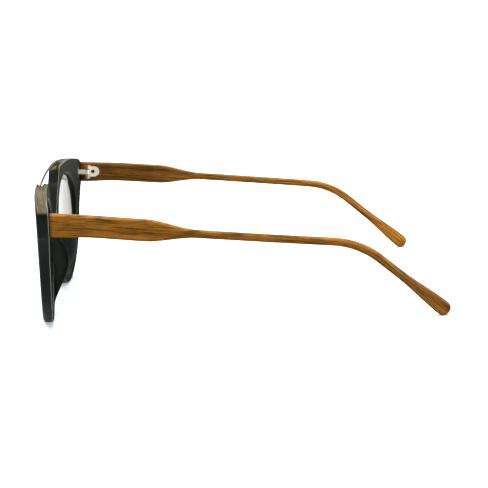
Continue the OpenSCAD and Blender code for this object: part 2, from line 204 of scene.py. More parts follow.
def thickZ(z):  # the sheet thins downwards from the hinge pin
    return frontShape["thick"] - (pinPlace.z / mm - z) * backTurn


def inFrame(x, y, z, leaned=True):  # from the sheet's own millimetres to the frame in metres
    if leaned:
        middle = faceStart + frontShape["thick"]
        away = y - middle
        y = middle + away * math.cos(leanTurn) + z * math.sin(leanTurn)
        z = -away * math.sin(leanTurn) + z * math.cos(leanTurn)
    return Vector((x * mm, buttY + y * mm, z * mm))


def eggPoint(angle, halfWide, halfHigh):
    a = math.radians(angle)
    swell = 1 + frontShape["egg"] * math.sin(a)
    return (lensX + halfWide * math.cos(a) * swell, lensZ + halfHigh * math.sin(a))


def outlineRun(key, x, z):
    return [(x + across, z + up) for across, up in outlineSteps[key]]


def halfOutline():
    top = frontShape["height"]
    bridgeTop = top - frontShape["bridgeDrop"]
    bridgeLow = bridgeTop - frontShape["bridgeHeight"]
    endLow = pinPlace.z / mm - frontShape["endHeight"] / 2 + frontShape["endLift"]
    endHigh = endLow + frontShape["endHeight"]
    rim = [eggPoint(a, rimHalfW, rimHalfH) for a in range(*frontShape["rimAngles"])]
    return [
        (0, bridgeLow), *outlineRun("noseLow", lensX - rimHalfW, bridgeLow), *rim,
        *outlineRun("endLow", halfW, endLow), *outlineRun("endHigh", halfW, endHigh),
        *outlineRun("shoulder", halfW, top), *outlineRun("browTop", lensX, top),
        *outlineRun("bridgeTop", lensX, bridgeTop), (0, bridgeTop)]


def addWall(mesh, loop, side):  # rounded wall along a loop, which gives its front and back rings' edges
    edge, steps, count = frontShape["edge"], frontShape["edgeSteps"], len(loop)
    rings = []
    for back in (0, 1):
        for k in range(steps + 1):
            turn = math.pi / 2 * (k if back == 0 else steps - k) / steps
            share = edge * (1 - math.cos(turn)) / frontShape["depthUnit"]
            ring = drawnIn(loop, side * edge * (1 - math.sin(turn)))
            rings.append([mesh.verts.new((x, abs(back - share), z)) for x, z in ring])
    for below, above in zip(rings, rings[1:]):
        for i in range(count):
            k = (i + 1) % count
            face = [below[i], below[k], above[k], above[i]]
            mesh.faces.new(face if side == 1 else face[::-1])
    outer = rings[0], rings[-1]
    return [[mesh.edges.get((ring[i], ring[(i + 1) % count])) for i in range(count)] for ring in outer]


def frontMesh():
    half = halfOutline()
    outside = smoothLoop(half + [(-x, z) for x, z in reversed(half[1:-1])], frontShape["curveSteps"])
    wide, high = lensW / 2 - frontShape["groove"], lensH / 2 - frontShape["groove"]
    aperture = [eggPoint(a, wide, high) for a in range(0, 360, frontShape["apertureStep"])]
    otherAperture = [(-x, z) for x, z in reversed(aperture)]
    mesh = bmesh.new()
    frontEdges, backEdges = [], []
    for loop, side in ((outside, 1), (aperture, -1), (otherAperture, -1)):  # apertures widen at the faces
        atFront, atBack = addWall(mesh, loop, side)
        frontEdges += atFront
        backEdges += atBack
    bmesh.ops.triangle_fill(mesh, use_beauty=True, edges=frontEdges, normal=(0, -1, 0))
    bmesh.ops.triangle_fill(mesh, use_beauty=True, edges=backEdges, normal=(0, 1, 0))
    step = frontShape["bendStep"]
    cuts = int(halfW / step)
    for n in range(-cuts, cuts + 1):
        whole = mesh.verts[:] + mesh.edges[:] + mesh.faces[:]
        bmesh.ops.bisect_plane(
            mesh, geom=whole, dist=frontShape["snap"], plane_co=(n * step, 0, 0), plane_no=xAxis)
    unit = frontShape["depthUnit"]
    for v in mesh.verts:  # y is 0 at the face and 1 at the back, with an edge's depth in depthUnit
        x, share, z = v.co
        depth = share * unit if share < 0.5 else thickZ(z) - (1 - share) * unit
        v.co = inFrame(x, faceY(x) + depth, z)
    bmesh.ops.recalc_face_normals(mesh, faces=mesh.faces)
    out = bpy.data.meshes.new("frontSheet")
    mesh.to_mesh(out)
    mesh.free()
    return out


# Shader groups and materials
# In the looks, a noise is its scale, detail and twist, and a ramp is a list of places and colours

black, white = (0, 0, 0), (1, 1, 1)


def feed(tree, value, socket):  # links another node's output, or sets the socket to a plain value
    if isinstance(value, bpy.types.NodeSocket):
        tree.links.new(value, socket)
    else:
        socket.default_value = value


def addNode(tree, kind, inputs=None, **settings):
    node = tree.nodes.new(kind)
    for key, value in settings.items():
        setattr(node, key, value)
    for label, value in (inputs or {}).items():
        feed(tree, value, node.inputs[label])
    return node


def addMath(tree, kind, *values):
    return addNode(tree, "ShaderNodeMath", dict(enumerate(values)), operation=kind).outputs[0]


def addVectorMath(tree, kind, *values):
    return addNode(tree, "ShaderNodeVectorMath", dict(enumerate(values)), operation=kind).outputs


def addRange(tree, value, low, high, least=0.0, most=1.0):  # least at low, most at high
    inputs = {"Value": value, "From Min": low, "From Max": high, "To Min": least, "To Max": most}
    return addNode(tree, "ShaderNodeMapRange", inputs).outputs[0]


def addMix(tree, kind, factor, first, second):
    inputs = {"Factor": factor, "A": first, "B": second}
    return addNode(tree, "ShaderNodeMix", inputs, data_type="RGBA", blend_type=kind).outputs["Result"]


def addRamp(tree, value, stops):
    ramp = addNode(tree, "ShaderNodeValToRGB", {"Fac": value})
    first, *between, last = stops
    for element, (place, colour) in zip(ramp.color_ramp.elements, (first, last)):
        element.position = place
        element.color = (*colour, 1)
    for place, colour in between:
        ramp.color_ramp.elements.new(place).color = (*colour, 1)
    return ramp.outputs["Color"]


def addBump(tree, height, strength, distance):
    inputs = {"Height": height, "Strength": strength, "Distance": distance}
    return addNode(tree, "ShaderNodeBump", inputs).outputs["Normal"]


def newGroup(name, inputs, output):
    group = bpy.data.node_groups.new(name, "ShaderNodeTree")
    for label, kind, value in inputs:
        group.interface.new_socket(name=label, in_out="INPUT", socket_type=kind).default_value = value
    group.interface.new_socket(name=output, in_out="OUTPUT", socket_type="NodeSocketFloat")
    given, result = group.nodes.new("NodeGroupInput"), group.nodes.new("NodeGroupOutput")
    return group, given.outputs, result.inputs[output]


def stretchedNoise():  # noise drawn out along one direction
    group, given, result = newGroup("stretchedNoise", [
        ("Vector", "NodeSocketVector", (0, 0, 0)), ("Scale", "NodeSocketVector", (1, 1, 1)),
        ("Detail", "NodeSocketFloat", 4.0), ("Twist", "NodeSocketFloat", 0.2)], "Value")
    stretched = addVectorMath(group, "MULTIPLY", given["Vector"], given["Scale"])["Vector"]
    noise = addNode(group, "ShaderNodeTexNoise", {
        "Vector": stretched, "Scale": 1.0, "Detail": given["Detail"], "Roughness": 0.6,
        "Distortion": given["Twist"]})
    feed(group, noise.outputs["Fac"], result)
    return group


def shareAlong():  # mask that goes from 0 to 1 along one direction
    group, given, result = newGroup("shareAlong", [
        ("Vector", "NodeSocketVector", (0, 0, 0)), ("Direction", "NodeSocketVector", (0, 0, 1)),
        ("Low", "NodeSocketFloat", 0.0), ("High", "NodeSocketFloat", 1.0)], "Share")
    reach = addVectorMath(group, "DOT_PRODUCT", given["Vector"], given["Direction"])["Value"]
    feed(group, addRange(group, reach, given["Low"], given["High"]), result)
    return group


noiseGroup = stretchedNoise()
shareGroup = shareAlong()


def addNoise(tree, vector, scale, detail, twist):
    inputs = {"Vector": vector, "Scale": scale, "Detail": detail, "Twist": twist}
    return addNode(tree, "ShaderNodeGroup", inputs, node_tree=noiseGroup).outputs["Value"]


def addShare(tree, vector, direction, low, high):
    inputs = {"Vector": vector, "Direction": direction, "Low": low, "High": high}
    return addNode(tree, "ShaderNodeGroup", inputs, node_tree=shareGroup).outputs["Share"]


def newMaterial(name):
    material = bpy.data.materials.new(name)
    material.use_nodes = True
    return material, material.node_tree


def setShader(tree, sockets):
    for label, value in sockets.items():
        feed(tree, value, tree.nodes["Principled BSDF"].inputs[label])


acetateLook = {
    "streakNoise": ((260.0, 3200.0, 260.0), 4.0, 0.1),
    "streaks": [(0.35, (0.001, 0.003, 0.002)), (0.65, (0.004, 0.0065, 0.004))],
    "gloss": (0.55, 0.6, 0.53), "bumpDepth": 0.00005,
}
padFinish = {"roughness": 0.42, "specular": 0.14, "bump": 0.05, "brushedAndPaintedLight": False}
frontFinish = {"roughness": 0.36, "specular": 0.3, "bump": 0.25, "brushedAndPaintedLight": True}

# Painted light for the front alone: a painted highlight on its back edges, which are also smoother, brush
# streaks on the brow's upper face in a pale tone that is a painted highlight, and a matt back with painted
# light towards its top.
# The fades in z are millimetres below the top, and those in x are millimetres from the lens's middle.
frontBrushAndLightLook = {
    "brushNoise": ((90.0, 2000.0, 300.0), 4.0, 0.1),
    "brushStreaksAndHighlight": [(0.38, (0.008, 0.006, 0.003)), (0.58, (0.12, 0.091, 0.055))],
    "brushedFacing": (0.72, 0.86), "brushedZ": (7.7, 5.7),
    "edgeFacing": [(0.4, black), (0.52, white), (0.66, white), (0.78, black)],
    "paintedEdgeHighlight": (0.3, 0.31, 0.28), "edgeRoughness": 0.18, "rimFade": (0.98, 1.02),
    "insideShare": 0.35, "insideX": (5.0, -7.0),
    "backFacing": (0.85, 0.95), "backRoughness": 0.95, "paintedBackLight": (0.06, 0.06, 0.048), "paintedBackLightZ": (15.2, 3.2),
}


def belowTop(drops):
    return [(frontShape["height"] - drop) * mm for drop in drops]


# Where the painted edge highlight falls on the front
def addEdgeHighlightMask(tree, place):  # 1 at the outline, less at an aperture's nasal edge, 0 at its outer edge
    folded = addVectorMath(tree, "ABSOLUTE", place)["Vector"]
    away = addVectorMath(tree, "SUBTRACT", folded, (lensX * mm, 0, lensZ * mm))["Vector"]
    # Measured in half sizes of the rim's middle line
    halfWide, halfHigh = (lensW / 2 + rimHalfW) / 2 * mm, (lensH / 2 + rimHalfH) / 2 * mm
    scaled = addVectorMath(tree, "MULTIPLY", away, (1 / halfWide, 0, 1 / halfHigh))["Vector"]
    outside = addRange(tree, addVectorMath(tree, "LENGTH", scaled)["Value"], *frontBrushAndLightLook["rimFade"])
    nasal = addShare(tree, folded, xAxis, *[(lensX + x) * mm for x in frontBrushAndLightLook["insideX"]])
    inside = addMath(tree, "MULTIPLY", nasal, frontBrushAndLightLook["insideShare"])
    return addMath(tree, "MAXIMUM", addMath(tree, "SUBTRACT", outside, inside), inside)


def addBrushStreaksAndHighlight(tree, place):  # brush lines that run along the sheet and follow its bend, in a pale tone that is a painted highlight
    parts = addNode(tree, "ShaderNodeSeparateXYZ", {"Vector": place}).outputs
    bend = addMath(tree, "MULTIPLY", addMath(tree, "MULTIPLY", parts["X"], parts["X"]), 0.5 / (bendR * mm))
    flatY = addMath(tree, "SUBTRACT", parts["Y"], bend)
    flat = addNode(tree, "ShaderNodeCombineXYZ", {"X": parts["X"], "Y": flatY, "Z": parts["Z"]}).outputs[0]
    return addRamp(tree, addNoise(tree, flat, *frontBrushAndLightLook["brushNoise"]), frontBrushAndLightLook["brushStreaksAndHighlight"])


def addFrontBrushAndLight(tree, place, colour, roughness):  # the colour and roughness of the front: brush streaks, smoother back edges and a matt back, with painted highlights and painted light
    here, facing = place["Object"], place["Normal"]
    # Painted highlight: a paler tone on the front's rounded back edges, limited by the rim mask
    edges = addRamp(tree, addShare(tree, facing, yAxis, 0.0, 1.0), frontBrushAndLightLook["edgeFacing"])
    edges = addMath(tree, "MULTIPLY", edges, addEdgeHighlightMask(tree, here))
    # Brush streaks in a pale tone that is a painted highlight, on the brow's upward faces
    upward = addShare(tree, facing, zAxis, *frontBrushAndLightLook["brushedFacing"])
    onBrow = addShare(tree, here, zAxis, *belowTop(frontBrushAndLightLook["brushedZ"]))
    colour = addMix(tree, "MIX", addMath(tree, "MULTIPLY", upward, onBrow), colour, addBrushStreaksAndHighlight(tree, here))
    # Painted light on the back face, paler towards the top, where the back is also matt
    back = addShare(tree, facing, yAxis, *frontBrushAndLightLook["backFacing"])
    paintedBackLightMask = addMath(tree, "MULTIPLY", back, addShare(tree, here, zAxis, *belowTop(frontBrushAndLightLook["paintedBackLightZ"])))
    # Adds the painted edge highlight and the painted light on the back face to the colour
    for mask, added in ((edges, frontBrushAndLightLook["paintedEdgeHighlight"]), (paintedBackLightMask, frontBrushAndLightLook["paintedBackLight"])):
        colour = addMix(tree, "ADD", 1.0, colour, addRamp(tree, mask, [(0.0, black), (1.0, added)]))
    rubbed = addMath(tree, "MULTIPLY_ADD", edges, frontBrushAndLightLook["edgeRoughness"] - roughness, roughness)
    return colour, addMath(tree, "MULTIPLY_ADD", back, frontBrushAndLightLook["backRoughness"] - roughness, rubbed)


def acetateMaterial(name, finish):
    material, tree = newMaterial(name)
    place = addNode(tree, "ShaderNodeTexCoord").outputs
    streaks = addNoise(tree, place["Object"], *acetateLook["streakNoise"])
    colour, roughness = addRamp(tree, streaks, acetateLook["streaks"]), finish["roughness"]
    # The front gets brush streaks with painted highlights and painted light
    if finish["brushedAndPaintedLight"]:
        colour, roughness = addFrontBrushAndLight(tree, place, colour, roughness)
    setShader(tree, {
        "Base Color": colour, "Roughness": roughness, "Specular IOR Level": finish["specular"],
        "Specular Tint": (*acetateLook["gloss"], 1),
        "Normal": addBump(tree, streaks, finish["bump"], acetateLook["bumpDepth"])})
    return material


# The lens's own pale tint at the inner side, with painted shade darkening it towards the outer side
lensLook = {
    "inner": (0.99, 0.91, 0.78), "outer": (0.24, 0.175, 0.138), "fade": (12, 60), "roughness": 0.02,
    "ior": 1.5,
}


def lensMaterial():  # a pale warm tint, with painted shade that deepens outwards over the fade, in millimetres from the middle of the bridge
    material, tree = newMaterial("tintedLens")
    place = addNode(tree, "ShaderNodeTexCoord").outputs["Object"]
    folded = addVectorMath(tree, "ABSOLUTE", place)["Vector"]
    outwards = addShare(tree, folded, xAxis, *[x * mm for x in lensLook["fade"]])
    setShader(tree, {
        "Base Color": addRamp(tree, outwards, [(0.0, lensLook["inner"]), (1.0, lensLook["outer"])]),
        "Roughness": lensLook["roughness"], "Transmission Weight": 1.0, "IOR": lensLook["ior"]})
    return material


nickelColour = (1.0, 0.91, 0.74)
metalLook = {
    "scratchNoise": ((900.0, 900.0, 2600.0), 5.0, 0.1), "patches": (0.3, 0.62),
    # Shares of the colour in the plain tone, and in the painted shade on the knuckles
    "clean": (0.82, 1.0), "shaded": (0.2, 0.4), "bumpDepth": 0.00004,
}
metals = {
    "paleGold": {"colour": (0.5, 0.38, 0.15), "metallic": 1.0, "roughness": 0.3, "scratch": 0.05},
    "satinNickel": {"colour": nickelColour, "metallic": 0.35, "roughness": 0.3, "scratch": 0.12},
    "shadedNickel": {"colour": nickelColour, "metallic": 0.6, "roughness": 0.3, "scratch": 0.12},
    "turnedSteel": {"colour": (0.42, 0.41, 0.4), "metallic": 1.0, "roughness": 0.34, "scratch": 0.15},
    "nearBlackSteel": {"colour": (0.035, 0.033, 0.03), "metallic": 1.0, "roughness": 0.4, "scratch": 0.15},
}


def metalMaterial(name, shadedUntil=None):  # painted shade up to a fade in y, where one is given
    metal = metals[name]
    colour = metal["colour"]
    material, tree = newMaterial(name)
    place = addNode(tree, "ShaderNodeTexCoord").outputs["Object"]
    scratches = addNoise(tree, place, *metalLook["scratchNoise"])

    def toned(state):  # the colour's shares in the dark and the light patches
        shares = zip(metalLook["patches"], metalLook[state])
        return addRamp(tree, scratches, [(at, tuple(c * share for c in colour)) for at, share in shares])

    patchy = toned("clean")
    if shadedUntil:
        patchy = addMix(tree, "MIX", addShare(tree, place, yAxis, *shadedUntil), toned("shaded"), patchy)
    setShader(tree, {
        "Base Color": patchy, "Metallic": metal["metallic"], "Roughness": metal["roughness"],
        "Normal": addBump(tree, scratches, metal["scratch"], metalLook["bumpDepth"])})
    return material


frontBlack = acetateMaterial("satinAcetate", frontFinish)
padBlack = acetateMaterial("smoothAcetate", padFinish)
tinted = lensMaterial()
gold = metalMaterial("paleGold")
print("materials made")

barShape = {
    "diameter": 0.8, "width": 64.8, "rise": 1.5, "lift": 0.9, "foot": 3.0, "bend": 1.1, "arcSteps": 40,
    "bendSteps": 8, "around": 16,
}

# Channels in the brow's nasal corners, under the ends of the bar
channelShape = {
    "from": -15.0, "to": 1.2, "wide": 2.1, "shift": -0.35, "deep": 1.1, "height": 3.0, "tangentAt": 5,
}


def channelBox(side):
    foot = barShape["width"] / 2
    turn = (foot - channelShape["tangentAt"]) / bendR
    y = faceY(foot) + frontShape["thick"] / 2
    edge = channelShape["wide"] / 2

    def place(u, v, z):
        cut = math.hypot(1, turn)
        return inFrame(side * (foot + (u - v * turn) / cut), y + (v + u * turn) / cut, z)

    floorZ = frontShape["height"] - channelShape["deep"]
    low = (channelShape["from"], channelShape["shift"] - edge, floorZ)
    high = (channelShape["to"], channelShape["shift"] + edge, floorZ + channelShape["height"])
    return boxMesh(low, high, place)


sheet = cutMesh(frontMesh(), [channelBox(1), channelBox(-1)])
flatNormals(placePiece(sheet, "front", "front_frame", frontBlack))
print("front made")

# Lenses: shallow spherical shells in the apertures

lensShape = {"thick": 2.0, "curveRadius": 200.0, "seat": 1, "rings": 14, "around": 120, "weld": 1e-6}


def lensMesh(name):
    turn = math.asin(lensX / bendR)
    reach = lensW / 2 - lensShape["seat"]
    radius = lensShape["curveRadius"]
    middleY = faceY(lensX) + frontShape["thick"] / 2 - (radius - math.sqrt(radius ** 2 - reach ** 2))
    cx, cy = lensX - radius * math.sin(turn), middleY + radius * math.cos(turn)
    around, rings = lensShape["around"], lensShape["rings"]
    verts, faces = [], []
    for side in (1, -1):
        r = radius + side * lensShape["thick"] / 2
        for k in range(rings + 1):
            for i in range(around):
                x, z = eggPoint(360 * i / around, lensW / 2, lensH / 2)
                x, z = lensX + (x - lensX) * k / rings, lensZ + (z - lensZ) * k / rings
                y = cy - math.sqrt(r * r - (x - cx) ** 2 - (z - lensZ) ** 2)
                verts.append(inFrame(x, y, z))
    back = (rings + 1) * around
    for start in (0, back):
        for k in range(rings):
            for i in range(around):
                a, b = start + k * around + i, start + k * around + (i + 1) % around
                face = (a, b, b + around, a + around)
                faces.append(face if start == 0 else face[::-1])
    for i in range(around):
        a, b = rings * around + i, rings * around + (i + 1) % around
        faces.append((a, b, b + back, a + back))
    return newMesh(name, verts, faces, lensShape["weld"])


for mesh, side in mirroredPair(lensMesh("leftLensGlass")):
    placePiece(mesh, "front", f"{side}_lens", tinted)
print("lenses made")

# Bar above the bridge: an arc with its feet turned down into the brow


def tubeMesh(name, points, radius, around):
    verts, count = [], len(points)
    for i, p in enumerate(points):
        along = (points[min(i + 1, count - 1)] - points[max(i - 1, 0)]).normalized()
        side = along.cross(Vector(yAxis)).normalized()
        deep = along.cross(side)
        for k in range(around):
            a = 2 * math.pi * k / around
            verts.append(p + radius * (side * math.cos(a) + deep * math.sin(a)))
    return newMesh(name, verts, loftFaces(count, around))


def barPoints():
    half, rise, bend = barShape["width"] / 2, barShape["rise"], barShape["bend"]
    radius = (half ** 2 + rise ** 2) / (2 * rise)
    y = faceY(half) + frontShape["thick"] / 2
    top = frontShape["height"] + barShape["lift"]
    arc = []
    for k in range(barShape["arcSteps"] + 1):
        x = (half - bend) * k / barShape["arcSteps"]
        arc.append((x, top + rise - radius + math.sqrt(radius ** 2 - x * x)))
    endX, endZ = arc[-1]
    for k in range(1, barShape["bendSteps"] + 1):
        a = math.pi / 2 * k / barShape["bendSteps"]
        arc.append((endX + bend * math.sin(a), endZ - bend * (1 - math.cos(a))))
    arc.append((half, frontShape["height"] - barShape["foot"]))
    line = [(-x, z) for x, z in reversed(arc[1:])] + arc
    return [inFrame(x, y, z) for x, z in line]


barTube = tubeMesh("browBar", barPoints(), barShape["diameter"] / 2 * mm, barShape["around"])
placePiece(barTube, "front", "brow_bar", gold)
print("bar made")

# Nose pads: rings stacked up the nasal side of each rim

padShape = {
    "reach": 6.0, "height": 24.5, "low": 3.6, "thick": 3.0, "lean": 46, "sunk": 0.4, "peak": 1.5,
    "fullness": 0.85, "thin": 0.45, "inward": 2.2, "root": 0.9, "steps": 44, "around": 28,
}


def padMesh(name):
    p = padShape
    lean = math.radians(p["lean"])
    verts = []
    for k in range(p["steps"] + 1):
        t = k / p["steps"]
        z = p["low"] + t * p["height"]
        out = p["reach"] * max(0.0, math.sin(math.pi * t ** p["peak"])) ** p["fullness"]
        side = math.degrees(math.asin(max(-1.0, min(1.0, (z - lensZ) / rimHalfH))))
        noseX = eggPoint(180 - side, rimHalfW, rimHalfH)[0]
        long = (out / 2 + p["root"]) / math.cos(lean)
        wide = p["thick"] / 2 * (p["thin"] + (1 - p["thin"]) * out / p["reach"])
        cx = noseX + p["inward"] + out / 2 * math.tan(lean)
        back = faceY(noseX) + thickZ(z)
        for i in range(p["around"]):
            a = 2 * math.pi * i / p["around"]
            u, v = wide * math.cos(a), long * math.sin(a)
            x = cx + u * math.cos(lean) + v * math.sin(lean)
            y = max(out / 2 - p["root"] - u * math.sin(lean) + v * math.cos(lean), -p["sunk"])
            verts.append(inFrame(x, back + y, z))
    return newMesh(name, verts, loftFaces(p["steps"] + 1, p["around"]))


for mesh, side in mirroredPair(padMesh("leftPad")):
    placePiece(mesh, "front", f"{side}_nose_pad", padBlack)
print("pads made")

# Temples: sections along a middle line with an ear bend and a paddle tip, in oiled wood

templeShape = {
    "length": 146, "wideHeight": 7.45, "wideLength": 32.5, "neck": 18, "shaftHeight": 2.7,
    "paddleHeight": 5.2, "paddleLength": 20, "thick": 3.8, "shaftThick": 3.0, "earZ": 29.1, "dropSlope": 42,
    "bendRadius": 29, "bendStart": 97, "bow": 4.1, "toeIn": 2.9, "buttGap": 0.15, "buttTrim": 0.3,
    "buttLength": 16, "earHeight": 0.3, "earBefore": 5, "earLength": 25, "earThick": 0.4,
    "earThickLength": 30, "edge": 1.0, "edgeShare": 0.9, "tipRound": 0.6, "step": 1.5, "tipStep": 6,
    "cornerSteps": 6, "grainTurn": 0.7,
}
woodLook = {
    "bandNoise": ((10.0, 420.0, 420.0), 3.0, 0.6),
    "bands": [(0.32, (0.21, 0.08, 0.01)), (0.62, (0.41, 0.172, 0.018))],
    "lineNoise": ((85.0, 1900.0, 1900.0), 5.0, 0.4), "lineShare": 0.78,
    "lines": [(0.37, (0.12, 0.16, 0.3)), (0.46, (0.55, 0.55, 0.6)), (0.53, white)],
    "poreNoise": ((260.0, 4600.0, 4600.0), 4.0, 0.1), "poreShare": 0.5,
    "pores": [(0.38, (0.2, 0.24, 0.32)), (0.5, white)],
    # Gain on the inner faces: painted shade near the front, paler towards the tip
    "inside": [(0.19, 0.72), (0.27, 1.14), (0.48, 1.2), (0.62, 1.7), (0.95, 1.95)],  # share of length, gain
    "insideMost": 2.0, "insideFade": (0.02, -0.04),
    "roughness": 0.5, "specular": 0.08, "bump": 0.12, "bumpDepth": 0.0001,
}


def addInnerFaceShadeAndTone(tree, grain):  # gain of the colour on a temple's inner face: painted shade near the front, paler towards the tip
    most = woodLook["insideMost"]
    along = addShare(tree, grain, xAxis, 0.0, templeShape["length"] * mm)
    level = addRamp(tree, along, [(at, (gain / most,) * 3) for at, gain in woodLook["inside"]])
    place = addNode(tree, "ShaderNodeTexCoord").outputs
    # On an inner face, x times the normal's x is below 0
    facing = addVectorMath(tree, "MULTIPLY", place["Object"], place["Normal"])["Vector"]
    inner = addShare(tree, facing, xAxis, *woodLook["insideFade"])
    return addMath(tree, "MULTIPLY_ADD", addMath(tree, "MULTIPLY_ADD", level, most, -1.0), inner, 1.0)


def woodMaterial():
    material, tree = newMaterial("oiledWood")
    grain = addNode(tree, "ShaderNodeUVMap", uv_map="grain").outputs["UV"]
    lines = addNoise(tree, grain, *woodLook["lineNoise"])
    colour = addRamp(tree, addNoise(tree, grain, *woodLook["bandNoise"]), woodLook["bands"])
    streaked = addRamp(tree, lines, woodLook["lines"])
    colour = addMix(tree, "MULTIPLY", woodLook["lineShare"], colour, streaked)
    pores = addRamp(tree, addNoise(tree, grain, *woodLook["poreNoise"]), woodLook["pores"])
    colour = addMix(tree, "MULTIPLY", woodLook["poreShare"], colour, pores)
    # Painted shade on the temples' inner faces near the front, paler towards the tip
    inputs = {0: colour, "Scale": addInnerFaceShadeAndTone(tree, grain)}
    colour = addNode(tree, "ShaderNodeVectorMath", inputs, operation="SCALE").outputs["Vector"]
    setShader(tree, {
        "Base Color": colour, "Roughness": woodLook["roughness"],
        "Specular IOR Level": woodLook["specular"],
        "Normal": addBump(tree, lines, woodLook["bump"], woodLook["bumpDepth"])})
    return material


# The middle line's stretches: the shaft, the ear bend and the drop to the tip
shaftSlope = math.asin((templeZ / mm - templeShape["earZ"]) / templeShape["bendStart"])
dropSlope = math.radians(templeShape["dropSlope"])
bendEnd = templeShape["bendStart"] + templeShape["bendRadius"] * (dropSlope - shaftSlope)
tipStart = templeShape["length"] - templeShape["paddleHeight"] / 2
bendY = templeShape["bendStart"] * math.cos(shaftSlope)
dropY = bendY + templeShape["bendRadius"] * (math.sin(dropSlope) - math.sin(shaftSlope))
dropZ = templeShape["earZ"] - templeShape["bendRadius"] * (math.cos(shaftSlope) - math.cos(dropSlope))
reachY = dropY + (tipStart - bendEnd) * math.cos(dropSlope) + templeShape["paddleHeight"] / 2


def templeMiddle(s):  # slope, y and z of the middle line at a length along it
    start, radius = templeShape["bendStart"], templeShape["bendRadius"]
    if s < start:
        slope, y, z = shaftSlope, s * math.cos(shaftSlope), templeZ / mm - s * math.sin(shaftSlope)
    elif s < bendEnd:
        slope = shaftSlope + (s - start) / radius
        y = bendY + radius * (math.sin(slope) - math.sin(shaftSlope))
        z = templeShape["earZ"] - radius * (math.cos(shaftSlope) - math.cos(slope))
    else:
        slope, y = dropSlope, dropY + (s - bendEnd) * math.cos(dropSlope)
        z = dropZ - (s - bendEnd) * math.sin(dropSlope)
    return slope, y, z - butt["pinDrop"] / mm * (1 - smoothStep(s / templeShape["buttLength"]))


def templeHeight(s):
    t = templeShape
    buttHeight = frontShape["endHeight"] - t["buttTrim"]
    paddleStart = tipStart - t["paddleLength"]
    rises = [
        (t["wideHeight"] - buttHeight, s / t["buttLength"]),
        (t["shaftHeight"] - t["wideHeight"], (s - t["wideLength"]) / t["neck"]),
        (t["earHeight"], (s - t["bendStart"] + t["earBefore"]) / t["earLength"]),
        (t["paddleHeight"] - t["shaftHeight"] - t["earHeight"], (s - paddleStart) / t["paddleLength"])]
    return buttHeight + sum(rise * smoothStep(share) for rise, share in rises)


def templeThick(s):
    t = templeShape
    thinned = smoothStep((s - t["wideLength"]) / t["neck"])
    swelled = smoothStep((s - t["bendStart"]) / t["earThickLength"])
    return t["thick"] - (t["thick"] - t["shaftThick"]) * thinned + t["earThick"] * swelled


def roundedSection(a, b):  # a rectangle's half width and half height, with its corners rounded
    r = min(templeShape["edge"], templeShape["edgeShare"] * min(a, b))
    steps = templeShape["cornerSteps"]
    points = []
    for k in range(4):
        sx, sz = (1 if k in (0, 3) else -1), (1 if k < 2 else -1)
        for j in range(steps + 1):
            w = math.pi / 2 * (k + j / steps)
            points.append((sx * (a - r) + r * math.cos(w), sz * (b - r) + r * math.sin(w)))
    return points


def templeSections():  # place, outline and thickness of each section, up to the rounded tip
    sections = []
    for n in range(math.ceil(tipStart / templeShape["step"])):
        s = n * templeShape["step"]
        thick = templeThick(s)
        sections.append((s, roundedSection(thick / 2, templeHeight(s) / 2), thick))
    thick, half = templeThick(tipStart), templeShape["paddleHeight"] / 2
    for degrees in range(0, 90, templeShape["tipStep"]):
        a = math.radians(degrees)
        ring = roundedSection(thick / 2 * math.cos(a) ** templeShape["tipRound"], half * math.cos(a))
        sections.append((tipStart + half * math.sin(a), ring, thick))
    return sections


def templeMesh(name):
    t = templeShape
    sections = templeSections()
    verts, marks = [], []
    for n, (s, ring, thick) in enumerate(sections):
        slope, y, z = templeMiddle(s)
        share = y / reachY
        x = halfW + 4 * t["bow"] * share * (1 - share) - t["toeIn"] * share - thick / 2
        for u, v in ring:
            px, py, pz = x + u, y + v * math.sin(slope), z + v * math.cos(slope)
            if n == 0:  # the butt end follows the front's back face
                py = faceY(px) + thickZ(pz) + t["buttGap"] + pz * math.sin(leanTurn)
            verts.append(inFrame(px, py, pz, False))
            marks.append((s * mm, v * mm + u * mm * t["grainTurn"]))
    mesh = newMesh(name, verts, loftFaces(len(sections), len(sections[0][1])))
    layer = mesh.uv_layers.new(name="grain")
    for loop in mesh.loops:
        layer.data[loop.index].uv = marks[loop.vertex_index]
    return mesh


wood = woodMaterial()
for mesh, side in mirroredPair(templeMesh("leftTempleWood")):
    flatNormals(placePiece(mesh, f"{side}_temple", f"{side}_temple", wood))
print("temples made")

# Hinges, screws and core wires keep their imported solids

metalWork = {"edge": 0.07, "segments": 2, "knuckle": 2.4, "shadeFade": 0.2}
# Painted shade on the temple hinges' knuckles, darker over the hinge's front part
hingeFront = min(v.co.y for v in frame["nodes"]["left_temple_hinge"].data.vertices)
shadedTo, fade = hingeFront + metalWork["knuckle"] * mm, metalWork["shadeFade"] * mm
nickel = metalMaterial("satinNickel")
hardware = {
    "front_hinge": nickel, "core_wire": nickel, "hinge_screw": metalMaterial("turnedSteel"),
    "temple_hinge": metalMaterial("shadedNickel", (shadedTo - fade, shadedTo + fade)),
    # The plate screws are near-black steel
    "plate_screw": metalMaterial("nearBlackSteel"),
}
for node, thing in frame["nodes"].items():
    part = node.partition("_")[2]  # the node's name without its side
    if part in hardware:
        thing.data.materials.clear()
        thing.data.materials.append(hardware[part])
    if part.endswith("hinge"):
        bevel = thing.modifiers.new("edge", "BEVEL")
        bevel.width = metalWork["edge"] * mm
        bevel.segments = metalWork["segments"]
        bevel.limit_method = "ANGLE"
        bevel.harden_normals = True
print("metal dressed")

# Floor, light and camera

floorLook = {
    "colour": (0.64, 0.7, 0.77), "shade": (0.11, 0.11, 0.112), "glow": 0.42,
    "glowColour": (0.86, 0.94, 1.0), "roughness": 0.9, "specular": 0.1, "half": 8,
    "seenBy": {"Is Transmission Ray": 0.72, "Is Glossy Ray": 0.33},  # share of the white that a ray sees
}


